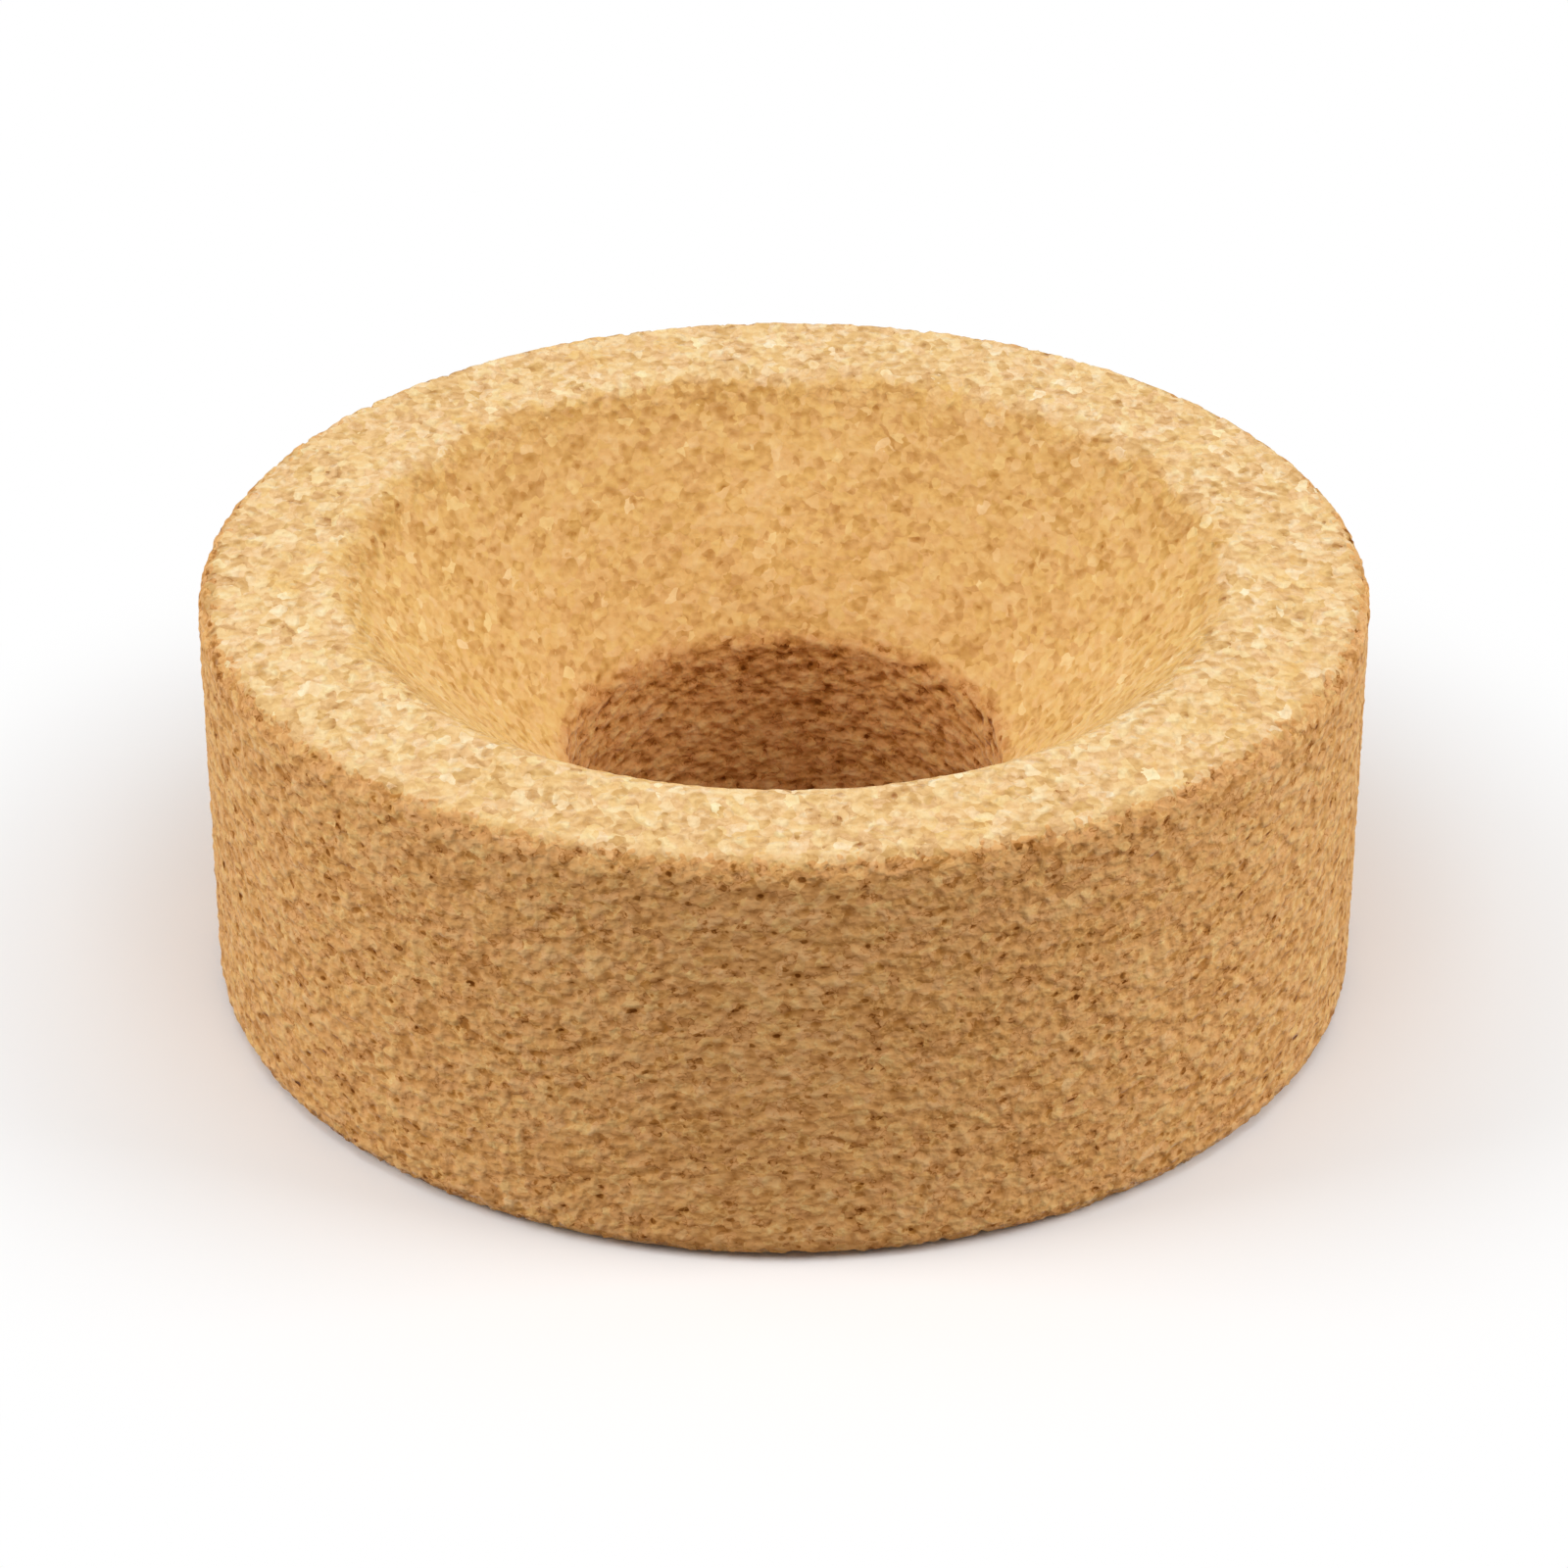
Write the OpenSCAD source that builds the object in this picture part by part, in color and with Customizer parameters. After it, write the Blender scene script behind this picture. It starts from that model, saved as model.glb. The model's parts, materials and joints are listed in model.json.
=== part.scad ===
// Cork ring: holds a round-bottomed flask upright on a bench.
// One piece of pressed cork granules: a flat disc with a conical seat in its top face,
// which narrows to a straight hole through the base.
// The origin is the centre of the base, and +Z points up through the mouth of the seat.

/* [Ring] */
// Outer diameter
ring_d = 80; // [70:1:200]
// Height
ring_h = 30; // [24:1:60]
// Radius of the rounded outer edges, top and bottom
edge_r = 1.5; // [0.5:0.1:3]

/* [Flask seat] */
// Width of the rim, from the outside of the ring to where the seat's cone would meet the top
rim_w = 10; // [9:0.5:14]
// Depth of the seat, from the top face down to the hole
seat_depth = 14.5; // [8:0.5:18]
// Radius of the rounded lip between the top face and the seat
lip_r = 4; // [1:0.5:6]

/* [Hole] */
// Diameter of the straight hole
hole_d = 30; // [16:1:34]
// Radius of the eased edge where the seat meets the hole
throat_r = 1; // [0.5:0.5:3]
// Radius of the eased edge where the hole meets the base
foot_r = 0.5; // [0.3:0.1:1.5]

/* [Hidden] */
$fn = 180;
cork = [0.86, 0.68, 0.45];
// The cone lies this far inside its two arcs, so that it crosses them cleanly
cone_sink = 0.001;

ring_r = ring_d / 2;
hole_r = hole_d / 2;
mouth_r = ring_r - rim_w;

// Angle between the seat's wall and the horizontal
seat_slope = atan2(seat_depth, mouth_r - hole_r);
// Direction in which the seat's wall faces, in the plane of the section
seat_normal = [-sin(seat_slope), cos(seat_slope)];

// Centres of the section's arcs, as [distance from the axis, height]
lip_centre = [mouth_r + lip_r * tan(seat_slope / 2), ring_h - lip_r];
throat_centre = [
    hole_r + throat_r,
    ring_h - seat_depth - throat_r * tan((90 - seat_slope) / 2)
];
foot_centre = [hole_r + foot_r, foot_r];
base_edge_centre = [ring_r - edge_r, edge_r];
top_edge_centre = [ring_r - edge_r, ring_h - edge_r];

// A full circle whose outer part is one rounded corner of the section.
module corner(centre, r) {
    translate(centre) circle(r);
}

// Half of the ring's section: straight sides, with a circle at each corner.
module section() {
    polygon([
        [foot_centre.x, 0],
        [base_edge_centre.x, 0],
        [ring_r, base_edge_centre.y],
        [ring_r, top_edge_centre.y],
        [top_edge_centre.x, ring_h],
        [lip_centre.x, ring_h],
        lip_centre + (lip_r - cone_sink) * seat_normal,
        throat_centre + (throat_r - cone_sink) * seat_normal,
        [hole_r, throat_centre.y],
        [hole_r, foot_centre.y]
    ]);
    corner(foot_centre, foot_r);
    corner(base_edge_centre, edge_r);
    corner(top_edge_centre, edge_r);
    corner(lip_centre, lip_r);
    corner(throat_centre, throat_r);
}

// The ring, turned from its section.
module cork_ring() {
    color(cork) rotate_extrude() section();
}

cork_ring();
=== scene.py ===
import json
import math
from collections import namedtuple
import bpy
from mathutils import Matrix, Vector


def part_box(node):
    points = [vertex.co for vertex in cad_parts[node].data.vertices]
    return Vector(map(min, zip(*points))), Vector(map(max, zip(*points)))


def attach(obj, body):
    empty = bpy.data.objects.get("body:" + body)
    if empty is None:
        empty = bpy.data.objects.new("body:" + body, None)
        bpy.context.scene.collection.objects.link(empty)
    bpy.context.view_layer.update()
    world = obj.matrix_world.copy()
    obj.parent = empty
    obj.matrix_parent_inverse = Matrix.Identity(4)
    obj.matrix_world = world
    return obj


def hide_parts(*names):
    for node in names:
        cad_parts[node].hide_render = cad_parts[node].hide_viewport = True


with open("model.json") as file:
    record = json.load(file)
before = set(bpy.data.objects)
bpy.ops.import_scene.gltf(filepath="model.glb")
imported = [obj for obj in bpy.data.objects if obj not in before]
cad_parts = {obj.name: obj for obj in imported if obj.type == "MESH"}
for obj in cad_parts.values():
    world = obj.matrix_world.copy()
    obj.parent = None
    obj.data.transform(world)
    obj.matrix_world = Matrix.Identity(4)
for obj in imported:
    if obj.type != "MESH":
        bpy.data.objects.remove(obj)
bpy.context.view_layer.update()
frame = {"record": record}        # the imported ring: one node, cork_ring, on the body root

from types import SimpleNamespace

import bpy
import numpy as np
from mathutils import Vector

# ---------------------------------------------------------------------------
# Sizes of the section, in millimetres. The ring's outside and its hole come from the frame.

MM = 0.001
ring_low, ring_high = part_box("cork_ring")
RING_R = (ring_high.x - ring_low.x) / 2 / MM
RING_H = (ring_high.z - ring_low.z) / MM
through_hole = next(m for m in frame["record"]["mounts"] if m["name"] == "through_hole")
HOLE_R = through_hole["dims"]["r_mm"]
EDGE_R = 1.5         # rounding of the two outer edges
RIM_W = 10.0         # from the outside in to where the seat's cone meets the top face
SEAT_DEPTH = 14.5    # from the top face down to where the cone meets the hole
LIP_R = 4.0          # rounding between the top face and the seat
THROAT_R = 1.0       # rounding between the seat and the hole
FOOT_R = 0.5         # rounding of the hole's foot

MOUTH_R = RING_R - RIM_W
SEAT_SLOPE = math.degrees(math.atan2(SEAT_DEPTH, MOUTH_R - HOLE_R))
# Centres of the section's arcs, as (distance from the axis, height).
LIP = (MOUTH_R + LIP_R * math.tan(math.radians(SEAT_SLOPE / 2)), RING_H - LIP_R)
THROAT = (
    HOLE_R + THROAT_R,
    RING_H - SEAT_DEPTH - THROAT_R * math.tan(math.radians((90 - SEAT_SLOPE) / 2)),
)
FOOT = (HOLE_R + FOOT_R, FOOT_R)
BASE_EDGE = (RING_R - EDGE_R, EDGE_R)
TOP_EDGE = (RING_R - EDGE_R, RING_H - EDGE_R)

# Gaps between the mesh's vertices, along the section and round the axis, in millimetres.
BASE_GAPS = (0.7, 0.8)
BASE_EDGE_GAPS = (0.35, 0.5)
OUTSIDE_GAPS = (0.34, 0.5)
TOP_EDGE_GAPS = (0.26, 0.36)
FACE_GAPS = (0.36, 0.42)
LIP_GAPS = (0.3, 0.42)
THROAT_GAPS = (0.25, 0.42)
FOOT_GAPS = (0.26, 0.42)

MAP_GAP = 0.8      # gap between the patches of the baked map, in millimetres
MAP_FLAT = 0.65    # faces at least this level are mapped from above, the others from the side


# ---------------------------------------------------------------------------
# The ring's mesh: rows of vertices round the axis, close enough to carry the granules.

def arc(centre, radius, start, end, gaps):
    """Rows along an arc of the section, between two angles in degrees."""
    row_gap, round_gap = gaps
    count = max(1, round(radius * math.radians(abs(end - start)) / row_gap))
    turns = np.radians(np.linspace(start, end, count + 1))
    r = centre[0] + radius * np.cos(turns)
    z = centre[1] + radius * np.sin(turns)
    return np.stack([r, z, np.full_like(r, round_gap)], 1)


def straight(start, end, gaps):
    """Rows along a straight side of the section."""
    row_gap, round_gap = gaps
    count = max(1, round(math.dist(start, end) / row_gap))
    share = np.linspace(0, 1, count + 1)[:, None]
    places = np.array(start) * (1 - share) + np.array(end) * share
    return np.concatenate([places, np.full((count + 1, 1), round_gap)], 1)


def on_arc(centre, radius, angle):
    """The point of an arc at an angle in degrees."""
    turn = math.radians(angle)
    return centre[0] + radius * math.cos(turn), centre[1] + radius * math.sin(turn)


def section_rows():
    """Every row as (distance from the axis, height, gap round the row), from the foot of the
    hole out along the base, up the outside, over the rim and down through the seat."""
    seat = 90 + SEAT_SLOPE    # the angle at which the arcs meet the seat
    stretches = [
        straight((FOOT[0], 0), (BASE_EDGE[0], 0), BASE_GAPS),
        arc(BASE_EDGE, EDGE_R, -90, 0, BASE_EDGE_GAPS),
        straight((RING_R, BASE_EDGE[1]), (RING_R, TOP_EDGE[1]), OUTSIDE_GAPS),
        arc(TOP_EDGE, EDGE_R, 0, 90, TOP_EDGE_GAPS),
        straight((TOP_EDGE[0], RING_H), (LIP[0], RING_H), FACE_GAPS),
        arc(LIP, LIP_R, 90, seat, LIP_GAPS),
        straight(on_arc(LIP, LIP_R, seat), on_arc(THROAT, THROAT_R, seat), FACE_GAPS),
        arc(THROAT, THROAT_R, seat, 180, THROAT_GAPS),
        straight((HOLE_R, THROAT[1]), (HOLE_R, FOOT[1]), FACE_GAPS),
        arc(FOOT, FOOT_R, 180, 270, FOOT_GAPS),
    ]
    # Each stretch ends where the next one starts, so its last row is left out.
    return np.concatenate([stretch[:-1] for stretch in stretches])


def stitch(first, second, first_turns, second_turns):
    """Triangles between two closed rows, always taking the next vertex round the axis."""
    a, b = len(first), len(second)
    i = j = 0
    faces = []
    while i < a or j < b:
        next_a = first_turns[i + 1] if i < a else math.inf
        next_b = second_turns[j + 1] if j < b else math.inf
        if next_a <= next_b:
            faces.append((first[i], first[(i + 1) % a], second[j % b]))
            i += 1
        else:
            faces.append((first[i % a], second[(j + 1) % b], second[j]))
            j += 1
    return faces


def lathe(name, rows):
    """A closed mesh of the rows, each with as many vertices as its own gap asks for."""
    places, turns, members = [], [], []
    start = 0
    for k, (r, z, gap) in enumerate(rows):
        count = round(math.tau * r / gap)
        turn = (np.arange(count + 1) + 0.5 * (k % 2)) / count    # odd rows are half a gap on
        angle = math.tau * turn[:-1]
        places.append(np.stack([r * np.cos(angle), r * np.sin(angle), np.full(count, z)], 1))
        turns.append(turn)
        members.append(start + np.arange(count))
        start += count
    faces = []
    for k in range(len(rows)):
        after = (k + 1) % len(rows)
        faces += stitch(members[k], members[after], turns[k], turns[after])
    mesh = bpy.data.meshes.new(name)
    mesh.from_pydata((np.concatenate(places) * MM).tolist(), [], np.array(faces).tolist())
    mesh.update()
    return mesh


def read(items, name, width, kind=float):
    """A property of each vertex, corner or face, one row of width numbers for each."""
    values = np.empty(len(items) * width, kind)
    items.foreach_get(name, values)
    return values.reshape(-1, width)


def lay_out(mesh):
    """A map to bake the colours through: the top and the base as seen from
    above, and the outside and the hole unrolled, each in two halves."""
    corners = read(mesh.loops, "vertex_index", 1, np.int32)[:, 0]
    places = read(mesh.vertices, "co", 3)[corners] / MM
    x, y, z = places.reshape(-1, 3, 3).transpose(2, 0, 1)
    normal_x, normal_y, normal_z = read(mesh.polygons, "normal", 3).T[:, :, None]

    # How far round its half each corner is, on its own face's side of the cut.
    middle = np.arctan2(y.sum(1), x.sum(1))[:, None]
    turn = middle + (np.arctan2(y, x) - middle + math.pi) % math.tau - math.pi
    back = middle > 0
    across = turn / math.pi + ~back

    # The map is a square: the outside's halves lie along its foot, and above them are the
    # top on the left, and a column with the base under the hole's halves on the right.
    ring_d = 2 * RING_R
    hole_top = THROAT[1] + THROAT_R
    side = ring_d + 2 * RING_H + 4 * MAP_GAP
    column_left = ring_d + 2 * MAP_GAP
    column_w = side - column_left - MAP_GAP
    base_r = RING_R - hole_top - MAP_GAP
    base_y = 2 * RING_H + 3 * MAP_GAP + base_r
    shrunk = base_r / RING_R
    patches = [
        (normal_z > MAP_FLAT, MAP_GAP + RING_R + x, side - MAP_GAP - RING_R + y),
        (normal_z < -MAP_FLAT, column_left + column_w / 2 + x * shrunk, base_y + y * shrunk),
        (
            normal_x * x + normal_y * y > 0,
            MAP_GAP + across * (side - 2 * MAP_GAP),
            MAP_GAP + z + back * (RING_H + MAP_GAP),
        ),
        (
            True,
            column_left + across * column_w,
            side - MAP_GAP - hole_top + z - back * (hole_top + MAP_GAP),
        ),
    ]
    ours = [np.broadcast_to(condition, x.shape) for condition, _, _ in patches]
    u = np.select(ours, [patch_u for _, patch_u, _ in patches])
    v = np.select(ours, [patch_v for _, _, patch_v in patches])
    layer = mesh.uv_layers.new(name="OFBake")
    layer.uv.foreach_set("vector", np.stack([u, v], -1).ravel() / side)


# ---------------------------------------------------------------------------
# Nodes. A material and a geometry tree know the same textures and sums, so one set of
# functions describes the granules for both: the relief and the colours then agree.

class Value:
    """A number that nodes work out. Each sum with it adds a Math node to its tree."""

    def __init__(self, tree, socket):
        self.tree = tree
        self.socket = socket

    def __add__(self, other):
        return self.tree.math("ADD", self, other)

    def __sub__(self, other):
        return self.tree.math("SUBTRACT", self, other)

    def __rsub__(self, other):
        return self.tree.math("SUBTRACT", other, self)

    def __mul__(self, other):
        return self.tree.math("MULTIPLY", self, other)

    def __abs__(self):
        return self.tree.math("ABSOLUTE", self)

    __radd__ = __add__
    __rmul__ = __mul__


class Tree:
    """Adds nodes to a node tree and links them. An input takes a number, a socket or a Value."""

    def __init__(self, tree):
        self.tree = tree

    def add(self, kind, inputs=(), **settings):
        """A new node of a kind, with its settings made and its inputs fed."""
        node = self.tree.nodes.new(kind)
        for name, value in settings.items():
            setattr(node, name, value)
        for key, value in dict(inputs).items():
            self.feed(node.inputs[key], value)
        return node

    def feed(self, socket, value):
        """Links a value or a socket to an input, or sets it to a plain number or list."""
        source = getattr(value, "socket", value)
        if isinstance(source, bpy.types.NodeSocket):
            self.tree.links.new(source, socket)
        else:
            socket.default_value = source

    def node(self, kind):
        """The node of a kind that the tree came with."""
        return next(node for node in self.tree.nodes if node.type == kind)

    def math(self, operation, *numbers):
        """What a Math node makes of the numbers."""
        node = self.add("ShaderNodeMath", dict(enumerate(numbers)), operation=operation)
        return Value(self, node.outputs[0])

    def step(self, value, start, end, low=0.0, high=1.0):
        """A smooth step from low to high while value goes from start to end."""
        node = self.add("ShaderNodeMapRange", interpolation_type="SMOOTHSTEP")
        names = ("Value", "From Min", "From Max", "To Min", "To Max")
        for name, number in zip(names, (value, start, end, low, high)):
            self.feed(node.inputs[name], number)
        return Value(self, node.outputs[0])

    def vector(self, operation, a, b):
        """What a Vector Math node makes of two vectors."""
        node = self.add("ShaderNodeVectorMath", {0: a, 1: b}, operation=operation)
        return node.outputs[0]

    def scaled(self, vector, scale):
        """A vector times a number."""
        node = self.add("ShaderNodeVectorMath", {0: vector, "Scale": scale}, operation="SCALE")
        return node.outputs[0]

    def parts(self, vector):
        """The three numbers of a vector or a colour."""
        node = self.add("ShaderNodeSeparateXYZ", {0: vector})
        return [Value(self, socket) for socket in node.outputs]

    def noise(self, vector, size, detail):
        """Noise from -0.5 to 0.5, whose blotches are about size millimetres."""
        inputs = {"Vector": vector, "Scale": 1 / size, "Detail": detail}
        return Value(self, self.add("ShaderNodeTexNoise", inputs).outputs[0]) - 0.5

    def cells(self, vector, size):
        """Cells about size millimetres apart: how far the nearest middle is, against size,
        and three random numbers of its cell."""
        node = self.add("ShaderNodeTexVoronoi", {"Vector": vector, "Scale": 1 / size})
        return Value(self, node.outputs["Distance"]), self.parts(node.outputs["Color"])

    def ramp(self, value, places, colours):
        """A colour that goes through the colours, each at its place."""
        node = self.add("ShaderNodeValToRGB", {0: value})
        elements = node.color_ramp.elements
        while len(elements) < len(places):
            elements.new(0.5)
        for element, place, colour in zip(elements, places, colours):
            element.position = place
            element.color = (*colour, 1)
        return node.outputs[0]

    def mix(self, share, low, high, kind="MIX"):
        """A colour that goes from low to high with share."""
        node = self.add("ShaderNodeMix", data_type="RGBA", blend_type=kind)
        # The node has sockets for each type of data. These are the ones for a colour.
        for index, value in zip((0, 6, 7), (share, low, high)):
            self.feed(node.inputs[index], value)
        return node.outputs[2]

    def show(self, output, share, low, high):
        """Gives the tree's output a shader that goes from low to high with share."""
        mix = self.add("ShaderNodeMixShader", {0: share, 1: low.outputs[0], 2: high.outputs[0]})
        self.feed(self.node(output).inputs["Surface"], mix.outputs[0])


def new_material(name):
    """A material with its tree and its surface shader."""
    mat = bpy.data.materials.new(name)
    mat.use_nodes = True
    t = Tree(mat.node_tree)
    return mat, t, t.node("BSDF_PRINCIPLED")


# ---------------------------------------------------------------------------
# Cork. Lengths are in millimetres.

PACKED = (1.0, 0.75, 1.25)      # how closely the granules lie along each axis, against X
GRANULE = 0.8                   # distance between the granules
FOLD = 0.8                      # size of the folds
GRAIN = 0.6                     # size of the lumps between them
MOTTLE = 5.0                    # size of the wide blotches
LAYER = 1.2                     # length of the ridges of the turned walls
LAYER_PACKED = (1.0, 1.0, 1.8)  # how closely those lie, against the granules

# How far the folds and the grain bend the granules' outlines, along each axis.
FOLD_BEND = (0.9, -0.3, 0.6)
GRAIN_BEND = (0.0, 0.7, 0.3)

# Where each kind of surface starts and where it is whole. The noises push that to and fro by
# the weights below it.
SKIN_DEPTHS = (0.7, 0.2)        # the pressed faces' pale skin, by the depth under them
SKIN_FOLD, SKIN_MOTTLE = 1.2, 1.6
OUTSIDE_DEPTHS = (1.6, 1.4)     # the outside, by the depth in from it
OUTSIDE_SKIN = 0.5              # share of the pale skin that it has
WALL_DEPTHS = (0.7, 0.4)        # its brown, by how much further in than under a place is
WALL_FOLD, WALL_GRAIN = 2.2, 3.0
HOLE_DEPTHS = (1.3, 0.0)        # the hole, by the distance out from its wall
HOLE_FOLD = 0.8

# Crumbs missing from the outer edges, by the depth under and in, and by the grain.
CHIP_UNDER = (1.6, 0.4)
CHIP_INWARD = (1.8, 0.4)
CHIP_GRAIN = (0.02, 0.18)
LIP_UNDER = (3.5, 1.0)          # the lip between the seat and the top, by the depth under it

# A number for each kind of surface: the two pressed faces, the seat, the outside, the hole.
Kinds = namedtuple("Kinds", "face seat outside hole")

# Relief of the mesh: how deep it lies, and how much deeper the noises and the crumbs make it.
SINK = 0.12
FOLD_SINK = Kinds(face=-0.3, seat=-0.3, outside=-0.5, hole=-0.5)
LAYER_SINK = Kinds(face=0.0, seat=0.0, outside=-0.15, hole=-0.6)
CHIP_SINK = 0.3

# Finer relief, which only the material has.
BUMP_FOLD, BUMP_GRAIN = 0.35, 0.25
BUMP_WALL = 0.9                 # share of it on the turned walls
BUMP_UNDER = (2.5, 0.5)         # depths under a pressed face between which its share grows
BUMP_SHARES = (0.5, 1.3)        # from the first of these to the second

# Marks, by a random number of the granule: where one starts and where it is whole.
FLAKE_SHARE = (0.9, 1.0)
# A pit is a dark spot of a granule: partly a dark speck of the cork and partly painted shadow of a
# hollow that the mesh does not have.
PIT_SHARE = (0.35, 0.0)
PIT_R = (-0.05, 0.26)           # radius of its floor at the start and when whole, in GRANULEs
PIT_SIDE = 0.18                 # width of its side; a granule without a pit has a dot of it
# A crack is a dark line, partly a dark gap of the cork and partly painted shadow, as the mesh has
# no crack.
CRACK_SHARE = (0.6, 0.8)
CRACK_LINE = 0.04               # how far a crack spreads to each side of the fold's middle
# A crest is a pale line on the walls: a painted highlight of a ridge lit from above.
CREST_SHARE = (0.4, 0.2)
CREST_LINE = 0.05               # and how far a pale crest does

# Tone: where it starts, and how much each thing adds to it. The fold, grain and layer terms rise
# and fall with the relief, so its hollows come out darker: painted shade, beside the granules' own
# random tone.
MIDDLE_TONE = 0.5
GRANULE_TONE, FOLD_TONE, GRAIN_TONE, MOTTLE_TONE = 0.5, 0.8, 0.7, 0.2
# Painted shade in part: its fold and grain terms darken the relief's hollows.
ROUGH_AND_HOLLOW_SHADE_TONE = Kinds(face=0.74, seat=0.52, outside=0.56, hole=0.56)    # share of the first three
LAYER_TONE = Kinds(face=0.0, seat=0.0, outside=0.1, hole=0.95)
FLAKE_TONE = Kinds(face=0.3, seat=0.3, outside=0.1, hole=0.1)
# Painted shadow in part: the pits' darkening, beside the cork's own dark specks.
PIT_SHADOW_AND_SPECK_TONE = Kinds(face=-0.13, seat=-0.13, outside=-0.29, hole=-0.13)
# Painted shadow in part: the cracks' darkening, beside dark gaps in the cork.
CRACK_AND_SHADOW_TONE = Kinds(face=-0.11, seat=-0.03, outside=-0.23, hole=-0.23)
# Painted highlight: the crests' lightening on the walls.
CREST_HIGHLIGHT_TONE = Kinds(face=0.0, seat=0.0, outside=0.2, hole=0.2)
# Painted shadow: the chipped edges' darkening.
CHIP_SHADOW_TONE = -0.2
LIP_TONE = -0.05

# Colours at four tones, from the bottom of a pit to a pale flake. The seat's and the walls' are
# darker and redder than the skin's: partly their own cut cork, partly painted shade of the sloping
# seat and of warm light bounced in the walls' pores.
TONES = (0.0, 0.22, 0.5, 1.0)
SKIN_COLOURS = ((0.36, 0.12, 0.025), (0.70, 0.42, 0.16), (0.88, 0.60, 0.285), (0.99, 0.86, 0.56))
SEAT_COLOURS = ((0.34, 0.10, 0.015), (0.62, 0.32, 0.085), (0.84, 0.53, 0.195), (0.96, 0.72, 0.36))
WALL_COLOURS = ((0.20, 0.06, 0.008), (0.51, 0.22, 0.05), (0.83, 0.468, 0.178), (0.96, 0.70, 0.34))

# What the colours are multiplied by in the hole, painted shade that makes the bore darker and
# redder, and where granules lean to orange or grey.
HOLE_PAINTED_SHADE = (0.85, 0.76, 0.67, 1)
ORANGE_LEAN = (1.0, 1.01, 0.935, 1)
GREY_LEAN = (1.0, 0.982, 1.055, 1)

# Numbers that are the same all over: dry and dull, with a little sheen.
SURFACE = {
    "Roughness": 0.9,
    "Diffuse Roughness": 0.6,
    "Specular IOR Level": 0.0,
    "Sheen Weight": 0.2,
    "Sheen Roughness": 0.25,
}


def cork(t, place):
    """What the relief and the colours share at a place in metres: the noises of the cork, the
    crumbs missing from its edges, and how much the place belongs to each kind of surface."""
    flat = t.vector("MULTIPLY", place, tuple(share / MM for share in PACKED))
    fold = t.noise(flat, FOLD, 2.0)
    grain = t.noise(flat, GRAIN, 0.0)
    mottle = t.noise(flat, MOTTLE, 1.0)
    layer = t.noise(t.vector("MULTIPLY", flat, LAYER_PACKED), LAYER, 0.0)

    x, y, z = t.parts(t.scaled(place, 1 / MM))
    radius = t.math("SQRT", x * x + y * y)
    inward = RING_R - radius
    under = RING_H / 2 - abs(z - RING_H / 2)    # depth under the nearer pressed face

    hole = t.step(radius - HOLE_R + fold * HOLE_FOLD, *HOLE_DEPTHS)
    ragged = inward - under - fold * WALL_FOLD - grain * WALL_GRAIN
    wall = t.math("MAXIMUM", t.step(ragged, *WALL_DEPTHS), hole)
    skin = t.step(under + fold * SKIN_FOLD + mottle * SKIN_MOTTLE, *SKIN_DEPTHS)
    skin = t.math("MAXIMUM", skin, t.step(inward, *OUTSIDE_DEPTHS) * OUTSIDE_SKIN)
    seat = 1.0 - t.math("MAXIMUM", wall, skin)
    edge = t.step(under, *CHIP_UNDER) * t.step(inward, *CHIP_INWARD)
    chip = edge * t.step(grain, *CHIP_GRAIN)
    return SimpleNamespace(
        flat=flat, fold=fold, grain=grain, mottle=mottle, layer=layer, under=under,
        skin=skin, seat=seat, wall=wall, hole=hole, chip=chip,
    )


def by_kind(here, kinds):
    """The number of the kind of surface at a place. The hole's wall is part of the walls."""
    seat = here.seat * (kinds.seat - kinds.face)
    outside = here.wall * (kinds.outside - kinds.face)
    hole = here.hole * (kinds.hole - kinds.outside)
    return kinds.face + seat + outside + hole


def granules(t, here):
    """How far the middle of the place's granule is, and three random numbers of the granule."""
    bend = t.vector("ADD", t.scaled(FOLD_BEND, here.fold), t.scaled(GRAIN_BEND, here.grain))
    return t.cells(t.vector("ADD", here.flat, bend), GRANULE)


def cork_tone(t, here, far, shade, lean, mark):
    """How pale the cork is, from 0 at the bottom of a pit to 1 on a pale flake."""
    shade = shade - 0.5
    # Painted shade: the fold and grain terms darken the low parts of the relief; the granule's
    # shade is its own random tone.
    rough = shade * GRANULE_TONE + here.fold * FOLD_TONE + here.grain * GRAIN_TONE
    tone = MIDDLE_TONE + here.mottle * MOTTLE_TONE + rough * by_kind(here, ROUGH_AND_HOLLOW_SHADE_TONE)
    tone += here.layer * by_kind(here, LAYER_TONE)
    # The chipped edges are darkened: painted shadow in the crumbs' hollows.
    tone += here.seat * t.step(here.under, *LIP_UNDER) * LIP_TONE + here.chip * CHIP_SHADOW_TONE

    flake = t.step(mark, *FLAKE_SHARE)
    pit_r = t.step(mark, *PIT_SHARE, *PIT_R)
    # Pits: partly the cork's dark specks, partly painted shadow of hollows that are not in the
    # mesh.
    pit = t.step(far, pit_r + PIT_SIDE, pit_r)
    tone += flake * by_kind(here, FLAKE_TONE) + pit * by_kind(here, PIT_SHADOW_AND_SPECK_TONE)

    # Cracks and crests run halfway between the folds' hollows and their tops. A crack is partly a
    # dark gap of the cork and partly painted shadow; a crest is a painted highlight.
    beside = abs(here.fold)
    crack = t.step(beside, CRACK_LINE, 0.0) * t.step(lean, *CRACK_SHARE)
    # Painted highlight along the crests of the walls.
    crest_highlight = t.step(beside, CREST_LINE, 0.0) * t.step(lean, *CREST_SHARE)
    return tone + crack * by_kind(here, CRACK_AND_SHADOW_TONE) + crest_highlight * by_kind(here, CREST_HIGHLIGHT_TONE)


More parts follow.
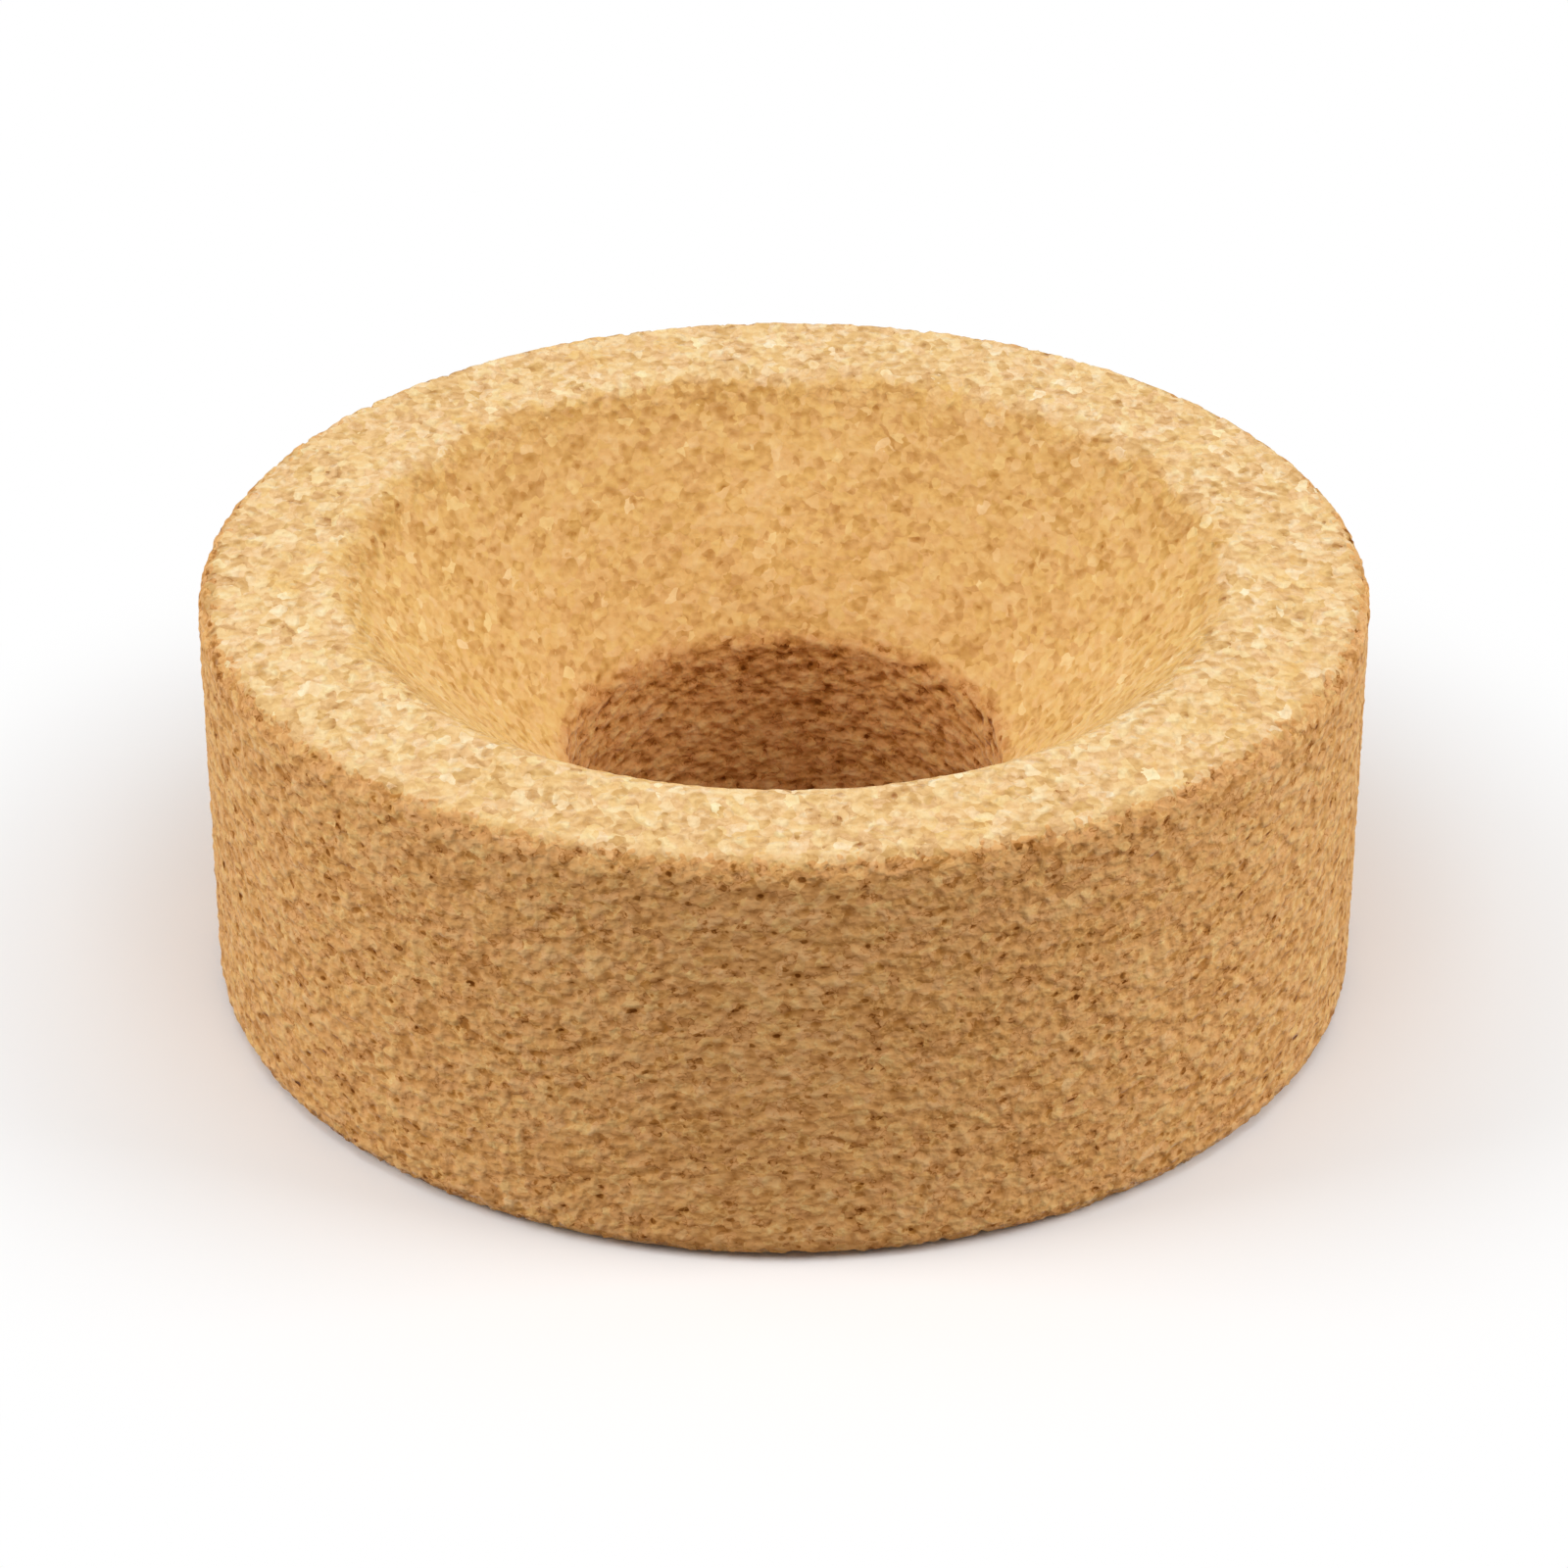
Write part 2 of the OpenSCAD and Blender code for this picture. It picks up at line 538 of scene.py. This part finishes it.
def cork_colour(t, here, tone, lean):
    """The colour of a tone on each kind of surface, with painted shade in the hole. Granules lean
    to orange or to grey.
    """
    # The seat's and the walls' ramps carry painted shade besides their own browner cork.
    colour = t.mix(here.skin, t.ramp(tone, TONES, SEAT_COLOURS), t.ramp(tone, TONES, SKIN_COLOURS))
    colour = t.mix(here.wall, colour, t.ramp(tone, TONES, WALL_COLOURS))
    # Painted shade: the hole's colours are multiplied darker and redder.
    colour = t.mix(here.hole, colour, HOLE_PAINTED_SHADE, "MULTIPLY")
    return t.mix(1.0, colour, t.mix(lean, ORANGE_LEAN, GREY_LEAN), "MULTIPLY")


def cork_bump(t, here):
    """The normal of the relief that the mesh is too coarse for."""
    grown = t.step(here.under, *BUMP_UNDER, *BUMP_SHARES)
    share = t.math("MAXIMUM", here.wall * BUMP_WALL, grown)
    height = (here.fold * BUMP_FOLD + here.grain * BUMP_GRAIN) * share
    bump = t.add("ShaderNodeBump", {"Height": height, "Strength": 1.0, "Distance": MM})
    return bump.outputs["Normal"]


def cork_material():
    """Pressed cork: granules of close tones, pale flakes, small dark pits and short cracks, and
    a rough dry surface. It is pale on the pressed faces and brown on the turned walls. The pits
    and cracks are partly painted shadow, the walls' crests are painted highlights, and painted
    shade darkens the relief's hollows, the chipped edges, the seat, the walls and the hole."""
    mat, t, shader = new_material("pressed_cork")
    here = cork(t, t.add("ShaderNodeTexCoord").outputs["Object"])
    far, (shade, lean, mark) = granules(t, here)
    tone = cork_tone(t, here, far, shade, lean, mark)
    t.feed(shader.inputs["Base Color"], cork_colour(t, here, tone, lean))
    t.feed(shader.inputs["Normal"], cork_bump(t, here))
    for name, number in SURFACE.items():
        shader.inputs[name].default_value = number
    return mat


def relief_tree():
    """Sinks each vertex into the ring by the depth of the cork's surface there."""
    tree = bpy.data.node_groups.new("cork_relief", "GeometryNodeTree")
    for way in ("INPUT", "OUTPUT"):
        tree.interface.new_socket("Geometry", in_out=way, socket_type="NodeSocketGeometry")
    t = Tree(tree)
    here = cork(t, t.add("GeometryNodeInputPosition").outputs[0])
    depth = SINK + here.fold * by_kind(here, FOLD_SINK) + here.layer * by_kind(here, LAYER_SINK)
    depth = t.math("MAXIMUM", depth + here.chip * CHIP_SINK, 0.0)
    offset = t.scaled(t.add("GeometryNodeInputNormal").outputs[0], depth * -MM)
    smooth = t.add("NodeGroupInput").outputs[0]
    sunk = t.add("GeometryNodeSetPosition", {"Geometry": smooth, "Offset": offset})
    t.add("NodeGroupOutput", {0: sunk.outputs[0]})
    return tree


def cork_ring():
    """The ring that stands for the CAD solid."""
    mesh = lathe("smooth", section_rows())
    lay_out(mesh)
    smooth = bpy.data.objects.new("smooth", mesh)
    bpy.context.scene.collection.objects.link(smooth)
    relief = smooth.modifiers.new("relief", "NODES")
    relief.node_group = relief_tree()
    evaluated = smooth.evaluated_get(bpy.context.evaluated_depsgraph_get())
    ring = bpy.data.objects.new("pressed_cork_ring", bpy.data.meshes.new_from_object(evaluated))
    bpy.data.objects.remove(smooth)
    bpy.context.scene.collection.objects.link(ring)
    ring.data.materials.clear()
    ring.data.materials.append(cork_material())
    ring.data.shade_smooth()
    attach(ring, "root")
    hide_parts("cork_ring")


# ---------------------------------------------------------------------------
# Stage, light and camera. Places are in metres from the centre of the ring's base.

WHITE = (1, 1, 1, 1)
FLOOR_HALF = 1.5                        # half the floor's side
FADE = (0.042, 0.075)                   # where the floor starts to fade, and is all gone
FLOOR_COLOUR = (0.94, 0.94, 0.94, 1)    # what the camera sees of it
FLOOR_BOUNCE = (0.50, 0.42, 0.33, 1)    # the colour with which it lights the ring
FLOOR_ROUGHNESS = 0.8
FLOOR_GLOSS = 0.1
ROOM_STRENGTH = 0.2

# Each lamp's place, the length of its side, and its power in watts.
OVERHEAD = ((0.0, -0.25, 0.85), 0.65, 2.85)
BESIDE = ((0.7, -0.1, 0.45), 0.4, 3.4)
BEHIND = ((0.8, 0.3, 0.19), 0.36, 1.1)
LAMP_AIM = Vector((0.0, 0.0, RING_H / 2 * MM))

EYE = Vector((0.0, -0.3058, 0.1909))    # the camera's place
AIM = Vector((0.0, 0.0, 0.0125))        # what it looks at
LENS = 116.0                            # its focal length and the width of its picture,
SENSOR_W = 36.0                         # both in millimetres


def floor_material():
    """A matte bench top, which fades into a white background as it goes away from the ring."""
    mat, t, shader = new_material("floor")
    seen = t.add("ShaderNodeLightPath").outputs["Is Camera Ray"]
    t.feed(shader.inputs["Base Color"], t.mix(seen, FLOOR_BOUNCE, FLOOR_COLOUR))
    shader.inputs["Roughness"].default_value = FLOOR_ROUGHNESS
    shader.inputs["Specular IOR Level"].default_value = FLOOR_GLOSS
    place = t.add("ShaderNodeTexCoord").outputs["Object"]
    away = t.add("ShaderNodeVectorMath", {0: place}, operation="LENGTH").outputs["Value"]
    white = t.add("ShaderNodeEmission", {"Color": WHITE, "Strength": 1.0})
    t.show("OUTPUT_MATERIAL", t.step(away, *FADE) * seen, shader, white)
    mat.cycles.emission_sampling = "NONE"
    return mat


def floor():
    """A square floor under the ring."""
    mesh = bpy.data.meshes.new("floor")
    signs = ((-1, -1), (1, -1), (1, 1), (-1, 1))
    corners = [(x * FLOOR_HALF, y * FLOOR_HALF, 0) for x, y in signs]
    mesh.from_pydata(corners, [], [(0, 1, 2, 3)])
    mesh.materials.append(floor_material())
    plane = bpy.data.objects.new("floor", mesh)
    bpy.context.scene.collection.objects.link(plane)


def put(holder, place, target):
    """Puts a lamp or a camera into the scene at a place, facing a target."""
    holder.location = place
    holder.rotation_euler = (target - place).to_track_quat("-Z", "Y").to_euler()
    bpy.context.scene.collection.objects.link(holder)


def softbox(name, place, size, watts, side=1):
    """A square lamp that faces the ring. With side -1 its place is mirrored to the left."""
    lamp = bpy.data.lights.new(name, "AREA")
    lamp.shape = "SQUARE"
    lamp.size = size
    lamp.energy = watts
    x, y, z = place
    put(bpy.data.objects.new(name, lamp), Vector((side * x, y, z)), LAMP_AIM)


def room():
    """A dim white room, which the camera sees as a white background."""
    world = bpy.data.worlds.new("room")
    bpy.context.scene.world = world
    world.use_nodes = True
    t = Tree(world.node_tree)
    dim = t.node("BACKGROUND")
    dim.inputs["Color"].default_value = WHITE
    dim.inputs["Strength"].default_value = ROOM_STRENGTH
    white = t.add("ShaderNodeBackground", {"Color": WHITE, "Strength": 1.0})
    seen = t.add("ShaderNodeLightPath").outputs["Is Camera Ray"]
    t.show("OUTPUT_WORLD", seen, dim, white)


def lights():
    """A wide softbox overhead, one to each side, a low one behind each side, and the room."""
    softbox("overhead", *OVERHEAD)
    for name, side in (("left", -1), ("right", 1)):
        softbox(name, *BESIDE, side)
        softbox(name + "_back", *BEHIND, side)
    room()


def camera():
    """A camera that looks down at the ring from the front, as high as in the photo."""
    data = bpy.data.cameras.new("camera")
    data.sensor_width = SENSOR_W
    data.lens = LENS
    eye = bpy.data.objects.new("camera", data)
    put(eye, EYE, AIM)
    bpy.context.scene.camera = eye


camera()
lights()
floor()
cork_ring()
bpy.context.scene.view_settings.view_transform = "Standard"
